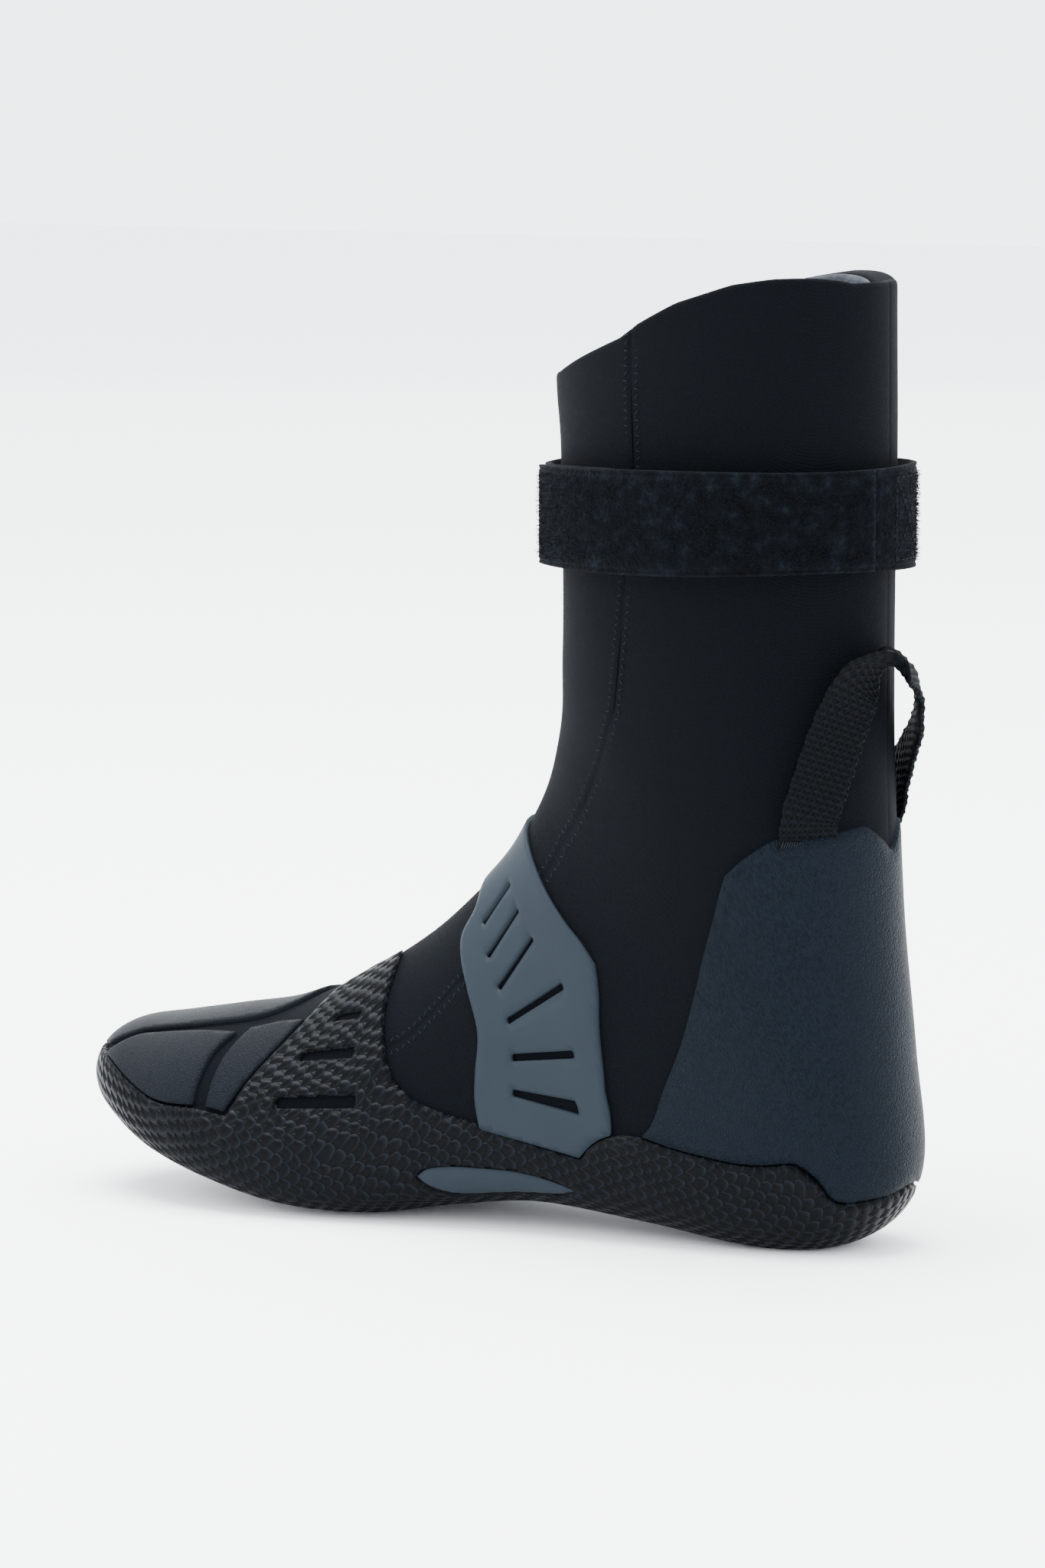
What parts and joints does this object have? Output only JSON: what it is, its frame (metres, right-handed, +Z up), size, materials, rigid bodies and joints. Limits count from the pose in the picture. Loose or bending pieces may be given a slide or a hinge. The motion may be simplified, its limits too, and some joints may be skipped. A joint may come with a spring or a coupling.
{
  "type": "neoprene boot",
  "caption": "High neoprene water-sports boot with a moulded rubber outsole, overlaid toe, instep and heel, a hook-and-loop ankle strap and a webbing pull loop at the heel.",
  "frame": {"origin": "on the ground under the middle of the bounding box", "axes": "+Z up, -X to the toe, +X to the heel, -Y to the medial side, +Y to the lateral side"},
  "size_m": [0.2877, 0.0951, 0.2969],
  "materials": {
    "outsole_rubber": "matt moulded scale relief",
    "arch_rubber": "smooth matt",
    "foam_jersey": "fine jersey knit over foam",
    "fleece_lining": "short fleece",
    "footbed_foam": "matt foam",
    "seam_tape": "flat tape",
    "thread": "sewing thread",
    "toe_overlay": "fine grain with a low sheen",
    "heel_overlay": "pebbled grain",
    "band_overlay": "smooth matt",
    "strap_pile": "brushed loop pile",
    "hook_tape": "moulded hooks",
    "webbing": "plain woven"
  },
  "bodies": {
    "boot": {"outsole": "outsole_rubber", "arch_insert": "arch_rubber", "sole_panel": "foam_jersey", "front_panel": "foam_jersey", "medial_panel": "foam_jersey", "lateral_panel": "foam_jersey", "lining_sock": "fleece_lining", "footbed": "footbed_foam", "seam_tape_medial": "seam_tape", "seam_tape_lateral": "seam_tape", "seam_tape_back": "seam_tape", "seam_stitching_medial": "thread", "seam_stitching_lateral": "thread", "toe_patch_medial_front": "toe_overlay", "toe_patch_medial_rear": "toe_overlay", "toe_patch_lateral": "toe_overlay", "heel_counter": "heel_overlay", "instep_band": "band_overlay", "strap_base": "strap_pile", "strap_anchor_stitching": "thread", "loop_anchor_medial": "webbing", "loop_anchor_lateral": "webbing", "bar_tack_medial": "thread", "bar_tack_lateral": "thread"},
    "strap_end": {"strap_free_end": "strap_pile"},
    "strap_tip_end": {"strap_tip": "strap_pile", "hook_patch": "hook_tape"},
    "loop": {"pull_loop": "webbing"}
  },
  "joints": [
    {"name": "strap_peel", "type": "hinge", "parent": "boot", "child": "strap_end", "pos_m": [0.13126, -0.01908, 0.2235], "axis": [0, 0, 1], "range_deg": [0, 95]},
    {"name": "strap_tip_bend", "type": "hinge", "parent": "strap_end", "child": "strap_tip_end", "pos_m": [0.06557, -0.04707, 0.2235], "axis": [0, 0, 1], "range_deg": [0, 60]},
    {"name": "loop_swing", "type": "hinge", "parent": "boot", "child": "loop", "pos_m": [0.1265, -0.0035, 0.1345], "axis": [0, 1, 0], "range_deg": [0, 100], "stiffness_Nm_per_rad": 0.01}
  ]
}
